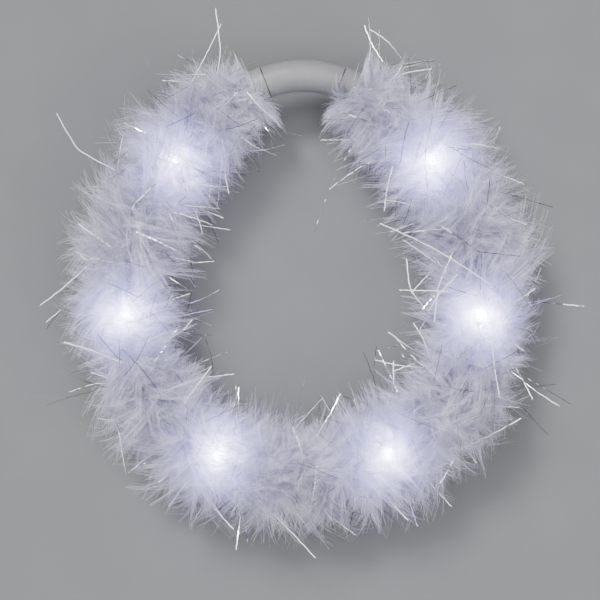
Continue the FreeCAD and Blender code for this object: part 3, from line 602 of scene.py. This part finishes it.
def foil_material():
    """Metallised film with fine crinkles: bright, dashed and dark strands, the dark a painted
    reflection.
    """
    material, nodes, links, shader = new_material("tinsel_foil")
    crinkles = noise_node(nodes, links, FOIL_CRINKLE_SCALE)
    dashes = noise_node(nodes, links, FOIL_REFLECTION_DASH_SCALE, 1.0)
    layer = layer_node(nodes, links)
    # painted reflection: dark strands and dark dashes along the bright ones
    total = math_node(nodes, links, "ADD", layer.outputs["X"], dashes.outputs["Fac"])
    mean = math_node(nodes, links, "MULTIPLY", total, 0.5)
    two_tone(nodes, links, shader, mean, FOIL_PAINTED_DARK_REFLECTION, FOIL_BRIGHT, FOIL_SPAN)
    shader.inputs["Metallic"].default_value = 1.0
    shader.inputs["Roughness"].default_value = FOIL_ROUGHNESS
    add_bump(nodes, links, shader, crinkles.outputs["Fac"], 0.2, 0.1 * MM)
    return material


# corners nearer than this are one, and this many of them are at either end of a strip
WELD = 0.001 * MM
END_CORNERS = 4


def joined_corners(start, seen):
    """Places of the corners joined to a start; adds them to those seen."""
    stack = [start]
    seen.add(start)
    corners = []
    while stack:
        vert = stack.pop()
        corners.append(vert.co.copy())
        for edge in vert.link_edges:
            other = edge.other_vert(vert)
            if other not in seen:
                seen.add(other)
                stack.append(other)
    return np.array(corners)


def strip_centres(node):
    """Centres of the two ends and of the knee between them, for each strip of the tinsel node."""
    solid = bmesh.new()
    solid.from_mesh(node.data)
    bmesh.ops.remove_doubles(solid, verts=solid.verts, dist=WELD)
    seen = set()
    centres = []
    for start in solid.verts:
        if start in seen:
            continue
        corners = joined_corners(start, seen)
        gaps = np.linalg.norm(corners[:, None] - corners[None], axis=-1)
        one, two = np.unravel_index(gaps.argmax(), gaps.shape)
        first = gaps[one].argsort()[:END_CORNERS]
        last = gaps[two].argsort()[:END_CORNERS]
        middle = np.setdiff1d(np.arange(len(corners)), np.concatenate([first, last]))
        centres.append([corners[first].mean(0), corners[middle].mean(0), corners[last].mean(0)])
    solid.free()
    return np.array(centres)


SHORT_TINSEL = 330
# share of the short strands at the sides of the roll, share of those outside the ring, and degrees
AT_SIDE_SHARE = 0.45
OUTSIDE_SHARE = 0.4
SIDE_SPREAD = 16
TOP_ANGLES = (10, 170)
SHORT_LENGTH = (9 * MM, 26 * MM)
SHORT_ROOT_RADIUS = 20 * MM
SHORT_TIP_LOWEST = 2 * MM
# tip radii: the least, the greatest on top of the roll and the greatest at its sides
SHORT_TIP_RADII = (30 * MM, 37 * MM, 45 * MM)
KNEE_SPREAD = 0.8 * MM


def short_tinsel():
    """Root, knee and tip centres of short strands at the surface of the down."""
    count = SHORT_TINSEL
    station = RNG.uniform(END_STATION, 2 * HALF - END_STATION, count)
    at_side = RNG.random(count) < AT_SIDE_SHARE
    side_angle = np.where(RNG.random(count) < OUTSIDE_SHARE, 0, 180) + RNG.normal(0, SIDE_SPREAD, count)
    angle = np.radians(np.where(at_side, side_angle, RNG.uniform(*TOP_ANGLES, count)))
    length = RNG.uniform(*SHORT_LENGTH, count)
    heading = RNG.uniform(0, 2 * math.pi, count)
    root = roll_point(station, angle, np.full(count, SHORT_ROOT_RADIUS))
    away = length * np.cos(heading)
    tip_angle = angle + length * np.sin(heading) / FLUFF_RADIUS
    least, greatest_on_top, greatest_at_side = SHORT_TIP_RADII
    tip_radius = RNG.uniform(least, np.where(at_side, greatest_at_side, greatest_on_top))
    tip = roll_point(station + away, tip_angle, tip_radius)
    tip[:, 2] = np.maximum(tip[:, 2], SHORT_TIP_LOWEST)
    knee = (root + tip) / 2 + RNG.normal(0, KNEE_SPREAD, (count, 3))
    return np.stack([root, knee, tip], axis=1)


TINSEL_POINTS = 22
# width of a strand, and the least and greatest factor on it
TINSEL_WIDTH = 0.26 * MM
WIDTH_SPREAD = (0.8, 1.2)
# how softly the strands bend at the knee
KNEE_SOFTNESS = (0.1, 0.6)
# share of strands that turn freely, how far these and the rest turn, and the twist beside the turn
LOOSE_SHARE = 0.2
LOOSE_TURN = 1.2
FLAT_TURN = 0.2
TWIST = 1.1
# depth of the crinkles, and their rate along the strand in radians
CRINKLE = 0.12 * MM
CRINKLE_RATE = (20, 50)


def make_tinsel(material):
    """Twisted, slightly crinkled foil ribbons along the frame's strips, and short ones in the down."""
    centres = np.concatenate([strip_centres(frame["nodes"]["tinsel_strands"]), short_tinsel()])
    each = (len(centres), 1, 1)
    v = np.linspace(0, 1, TINSEL_POINTS)[None, :, None]
    first, middle, last = (centres[:, None, index] for index in range(3))
    past_knee = 2 * v - 1
    bend = np.sqrt(past_knee**2 + RNG.uniform(*KNEE_SOFTNESS, each) ** 2)
    outward = (last - middle) * (bend + past_knee) / 2
    inward = (first - middle) * (bend - past_knee) / 2
    paths = middle + outward + inward
    chord = last - first
    chord = chord / np.linalg.norm(chord, axis=-1, keepdims=True)
    across = np.cross(chord, np.array([0.0, 0.0, 1.0]))
    across /= np.linalg.norm(across, axis=-1, keepdims=True)
    upright = np.cross(across, chord)
    turned = np.where(RNG.random(each) < LOOSE_SHARE, LOOSE_TURN, FLAT_TURN)
    turns = turned * (RNG.normal(0, 1, each) + RNG.normal(0, TWIST, each) * v)
    sides = upright * np.cos(turns) + across * np.sin(turns)
    paths = paths + across * CRINKLE * np.sin(v * RNG.uniform(*CRINKLE_RATE, each))
    width = np.full(paths.shape[:2], TINSEL_WIDTH) * RNG.uniform(*WIDTH_SPREAD, (len(centres), 1))
    piece = ribbon_mesh("tinsel_ribbons", paths, width, sides, material)
    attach(piece, "crown")
    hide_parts("tinsel_strands")


# ---- materials of the frame's own nodes ---------------------------------------------------------


def moulded(name, colour, roughness, grain=600.0, bump=0.05, subsurface=0.0, specular=0.5):
    """Moulded plastic: faint mottling and a fine surface grain."""
    material, nodes, links, shader = new_material(name)
    noise = noise_node(nodes, links, grain)
    two_tone(nodes, links, shader, noise.outputs["Fac"], shaded(colour, 0.93), colour)
    shader.inputs["Roughness"].default_value = roughness
    shader.inputs["Specular IOR Level"].default_value = specular
    if subsurface:
        shader.inputs["Subsurface Weight"].default_value = subsurface
        shader.inputs["Subsurface Scale"].default_value = 3 * MM
        shader.inputs["Subsurface Radius"].default_value = (1.0, 1.0, 1.1)
    add_bump(nodes, links, shader, noise.outputs["Fac"], bump, 0.05 * MM)
    return material


def frosted(name, colour):
    """Frosted plastic: finely grained, hardly glossy, and a little light gets into it."""
    return moulded(name, colour, 0.42, grain=500.0, bump=0.04, subsurface=0.06, specular=0.3)


# past this angle from the middle of the case, on the ring's first arc, is its neck, which carries a
# painted shadow
NECK_ANGLE = math.radians(20.74)
NECK_PAINTED_SHADOW = (0.05, 0.05, 0.055)


def case_plastic():
    """Frosted plastic of the case, with a painted shadow on its necks where they show in the collars'
    grooves.
    """
    material = frosted("frosted_plastic", (0.19, 0.19, 0.20))
    nodes = material.node_tree.nodes
    links = material.node_tree.links
    base_colour = nodes["Principled BSDF"].inputs["Base Color"]
    from_arc_centre = nodes.new("ShaderNodeMapping")
    from_arc_centre.inputs["Location"].default_value = (0, ARC_RADII[0] - RING_BACK, 0)
    links.new(nodes.new("ShaderNodeTexCoord").outputs["Object"], from_arc_centre.inputs["Vector"])
    split = nodes.new("ShaderNodeSeparateXYZ")
    links.new(from_arc_centre.outputs["Vector"], split.inputs["Vector"])
    angle = math_node(nodes, links, "ARCTAN2", split.outputs["X"], split.outputs["Y"])
    size = math_node(nodes, links, "ABSOLUTE", angle)
    neck = math_node(nodes, links, "GREATER_THAN", size, NECK_ANGLE)
    # painted shadow on the necks in the collars' grooves
    tone = nodes.new("ShaderNodeMix")
    tone.data_type = "RGBA"
    links.new(neck, tone.inputs["Factor"])
    links.new(base_colour.links[0].from_socket, tone.inputs["A"])
    tone.inputs["B"].default_value = (*NECK_PAINTED_SHADOW, 1)
    links.new(tone.outputs["Result"], base_colour)
    return material


def metal(name, colour, roughness, scratch=250.0):
    """Metal with a brushed or drawn finish."""
    material, nodes, links, shader = new_material(name)
    place = nodes.new("ShaderNodeMapping")
    place.inputs["Scale"].default_value = (1, 1, 8)
    links.new(nodes.new("ShaderNodeTexCoord").outputs["Object"], place.inputs["Vector"])
    noise = noise_node(nodes, links, scratch, 6.0, place.outputs["Vector"])
    two_tone(nodes, links, shader, noise.outputs["Fac"], shaded(colour, 0.8), colour)
    shader.inputs["Metallic"].default_value = 1.0
    shader.inputs["Roughness"].default_value = roughness
    add_bump(nodes, links, shader, noise.outputs["Fac"], 0.1, 0.02 * MM)
    return material


def twisted(name, colour, pitch):
    """Twisted yarn: slanting bands of light and shade."""
    material, nodes, links, shader = new_material(name)
    wave = nodes.new("ShaderNodeTexWave")
    wave.bands_direction = "DIAGONAL"
    wave.inputs["Scale"].default_value = 1 / pitch
    wave.inputs["Distortion"].default_value = 2.0
    links.new(nodes.new("ShaderNodeTexCoord").outputs["Object"], wave.inputs["Vector"])
    two_tone(nodes, links, shader, wave.outputs["Fac"], shaded(colour, 0.6), colour, (0.2, 0.8))
    shader.inputs["Roughness"].default_value = 0.9
    add_bump(nodes, links, shader, wave.outputs["Fac"], 0.5, 0.2 * MM)
    return material


def lens_material():
    """Clear lens of a lit white light, brightest in the middle."""
    material, nodes, links, shader = new_material("lit_lens")
    facing = nodes.new("ShaderNodeLayerWeight")
    facing.inputs["Blend"].default_value = 0.3
    tone = ramp_node(nodes, [(0.0, (1.0, 1.0, 1.0)), (1.0, (0.55, 0.6, 1.0))])
    links.new(facing.outputs["Facing"], tone.inputs["Fac"])
    links.new(tone.outputs["Color"], shader.inputs["Base Color"])
    links.new(tone.outputs["Color"], shader.inputs["Emission Color"])
    shader.inputs["Emission Strength"].default_value = 3.5
    shader.inputs["Roughness"].default_value = 0.1
    return material


def paint_frame():
    """Gives every shown node of the frame its material, by its slot in the record."""
    by_slot = {
        "frosted_plastic": frosted("collar_plastic", (0.21, 0.21, 0.22)),
        "button_plastic": moulded("button_plastic", (0.7, 0.7, 0.73), 0.45),
        "board": moulded("solder_mask", (0.03, 0.2, 0.09), 0.35),
        "chip": moulded("chip_epoxy", (0.03, 0.03, 0.035), 0.55),
        "resistor_body": moulded("resistor_film", (0.05, 0.05, 0.06), 0.4),
        "switch_case": moulded("switch_plastic", (0.05, 0.05, 0.055), 0.5),
        "plunger": moulded("plunger_plastic", (0.66, 0.62, 0.5), 0.5),
        "wire_sleeve": moulded("white_insulation", (0.85, 0.85, 0.85), 0.35),
        "red_wire": moulded("red_insulation", (0.55, 0.03, 0.03), 0.35),
        "black_wire": moulded("black_insulation", (0.025, 0.025, 0.028), 0.35),
        "sleeve": moulded("shrunk_sleeve", (0.8, 0.8, 0.78), 0.6),
        "quill": moulded("quill_horn", (0.86, 0.83, 0.74), 0.4),
        "hoop_steel": metal("spring_steel", (0.55, 0.56, 0.58), 0.3),
        "cell_steel": metal("cell_nickel", (0.72, 0.72, 0.72), 0.22),
        "nickel": metal("contact_nickel", (0.74, 0.72, 0.66), 0.28),
        "tinned_steel": metal("tinned_leg", (0.7, 0.7, 0.7), 0.3),
        "screw_steel": metal("screw_zinc", (0.66, 0.66, 0.68), 0.32),
        "cord": twisted("cotton_cord", (0.85, 0.85, 0.84), 1.5 * MM),
        "thread": twisted("white_thread", (0.88, 0.88, 0.9), 0.6 * MM),
        "light_lens": lens_material(),
    }
    case = case_plastic()
    for part in frame["record"]["subparts"]:
        node = frame["nodes"].get(part["node"])
        material = case if part["node"].startswith("case_") else by_slot.get(part["material_slot"])
        if node is None or material is None:
            continue
        if not node.material_slots:
            node.data.materials.append(material)
        for holder in node.material_slots:
            holder.link = "OBJECT"
            holder.material = material


# ---- studio -------------------------------------------------------------------------------------

FLOOR_DARK = (0.124, 0.125, 0.130)
FLOOR_LIGHT = (0.132, 0.133, 0.138)
FLOOR_SIZE = 60


def make_floor():
    """Plain grey floor, kept darker than the white down on it."""
    material, nodes, links, shader = new_material("studio_floor")
    noise = noise_node(nodes, links, 30.0)
    two_tone(nodes, links, shader, noise.outputs["Fac"], FLOOR_DARK, FLOOR_LIGHT, (0.3, 0.7))
    shader.inputs["Roughness"].default_value = 0.9
    bpy.ops.mesh.primitive_plane_add(size=FLOOR_SIZE, location=(0, 0, 0))
    floor = bpy.context.object
    floor.name = "studio_floor"
    floor.data.materials.append(material)


def add_sun(name, towards, half_angle, strength):
    """Far, soft light from a direction, so that the whole floor is lit alike."""
    lamp = bpy.data.lights.new(name, "SUN")
    lamp.angle = 2 * half_angle
    lamp.energy = strength
    obj = bpy.data.objects.new(name, lamp)
    level = math.hypot(towards[0], towards[1])
    turn = math.atan2(towards[1], towards[0]) + math.pi / 2
    obj.rotation_euler = (math.atan2(level, towards[2]), 0, turn)
    bpy.context.scene.collection.objects.link(obj)


WORLD_COLOUR = (0.94, 0.94, 1.0)
WORLD_STRENGTH = 0.34
# name, direction, half angle in degrees and strength
SUNS = [
    ("overhead", (0, 0, 1), 29.7, 3.0),
    ("key", (-0.45, 0.75, 1.0), 6.5, 4.6),
    ("fill", (0.8, -0.6, 0.8), 17, 1.4),
]
# the light that the six lights throw on what is round them
GLOW_LAMP_POWER = 0.12
GLOW_LAMP_COLOUR = (0.76, 0.78, 1.0)
GLOW_LAMP_RADIUS = 3 * MM
GLOW_LAMP_LIFT = 6 * MM


def make_lighting():
    """Wide light from overhead, a smaller key from the back left, a weak fill and the crown's own."""
    world = bpy.data.worlds.new("studio")
    bpy.context.scene.world = world
    world.use_nodes = True
    background = world.node_tree.nodes["Background"]
    background.inputs["Color"].default_value = (*WORLD_COLOUR, 1)
    background.inputs["Strength"].default_value = WORLD_STRENGTH
    for name, towards, half_angle, strength in SUNS:
        add_sun(name, towards, math.radians(half_angle), strength)
    for number, spot in enumerate(LIGHT_SPOTS, start=1):
        lamp = bpy.data.lights.new(f"glow_{number}", "POINT")
        lamp.energy = GLOW_LAMP_POWER
        lamp.color = GLOW_LAMP_COLOUR
        lamp.shadow_soft_size = GLOW_LAMP_RADIUS
        obj = bpy.data.objects.new(f"glow_{number}", lamp)
        obj.location = spot + np.array([0, 0, GLOW_LAMP_LIFT])
        bpy.context.scene.collection.objects.link(obj)


VIEW_WIDTH = 300 * MM
VIEW_DISTANCE = 1.5
VIEW_CENTRE = (-1.5 * MM, -9.7 * MM)
SENSOR = 36.0


def make_camera():
    """Camera straight above the ring, as wide as the view."""
    camera = bpy.data.cameras.new("camera")
    camera.sensor_width = SENSOR
    camera.lens = SENSOR * VIEW_DISTANCE / VIEW_WIDTH
    camera.dof.use_dof = False
    obj = bpy.data.objects.new("camera", camera)
    obj.location = (*VIEW_CENTRE, AXIS_HEIGHT + VIEW_DISTANCE)
    obj.rotation_euler = (0, 0, 0)
    bpy.context.scene.collection.objects.link(obj)
    bpy.context.scene.camera = obj


make_floor()
make_lighting()
make_camera()
paint_frame()
DOWN = down_material()
make_down(DOWN)
make_stray_down(DOWN)
make_tinsel(foil_material())
